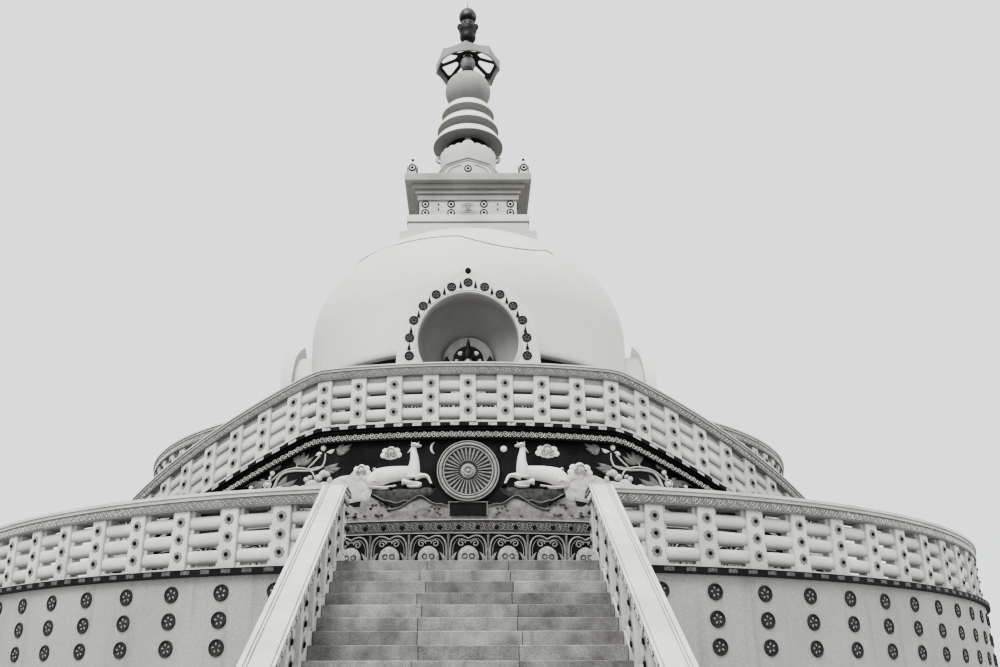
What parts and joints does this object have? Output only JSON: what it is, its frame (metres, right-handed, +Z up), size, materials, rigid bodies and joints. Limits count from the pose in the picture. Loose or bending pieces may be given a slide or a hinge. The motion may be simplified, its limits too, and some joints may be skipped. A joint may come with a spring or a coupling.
{
  "type": "domed stupa with two round terraces",
  "caption": "White domed Buddhist stupa on two round terraces with open railings, a straight front stair, two curved side stairs, carved wheel wall, arched niches and a spire.",
  "frame": {"origin": "on the ground, on the axis of the round terraces", "axes": "+Z up along the axis of the dome; -Y towards the front stair; +X to the right as seen from the front"},
  "size_m": [24.56, 30.6, 24.78],
  "materials": {
    "carved figures": "light painted carved plaster",
    "dark board": "dark varnished board",
    "dark bronze": "dark patinated cast metal",
    "dome plaster": "smooth white lime plaster, matte",
    "limewash": "whitewashed masonry, matte",
    "painted relief": "painted carved plaster, dark ground",
    "stair stone": "cut grey stone slabs, worn matte"
  },
  "bodies": {
    "root": {"lower_drum": "limewash", "lower_deck": "limewash", "front_stair": "stair stone", "stair_parapet_right": "limewash", "stair_parapet_left": "limewash", "lower_railing_1": "limewash", "lower_railing_2": "limewash", "lower_railing_3": "limewash", "lower_railing_4": "limewash", "upper_drum": "limewash", "upper_deck": "limewash", "landing": "stair stone", "side_stair_right": "stair stone", "side_stair_left": "stair stone", "relief_wall": "painted relief", "relief_cornice": "limewash", "landing_railing": "limewash", "flight_railing_right": "limewash", "flight_railing_left": "limewash", "upper_railing_1": "limewash", "upper_railing_2": "limewash", "upper_railing_3": "limewash", "upper_railing_4": "limewash", "dharma_wheel": "carved figures", "wheel_board": "dark board", "deer_right": "carved figures", "deer_left": "carved figures", "dome_drum": "limewash", "dome": "dome plaster", "niche_front": "dome plaster", "figure_front": "dark bronze", "niche_right": "dome plaster", "figure_right": "dark bronze", "niche_back": "dome plaster", "figure_back": "dark bronze", "niche_left": "dome plaster", "figure_left": "dark bronze", "harmika_foot": "limewash", "harmika_body": "limewash", "harmika_cornice": "limewash", "lotus_bowl": "dome plaster", "disc_lower": "dome plaster", "disc_middle": "dome plaster", "disc_upper": "dome plaster", "globe": "dome plaster", "parasol": "dome plaster", "finial_cup": "dark bronze", "finial_ball": "dark bronze", "lightning_rod": "dark bronze"}
  },
  "joints": []
}
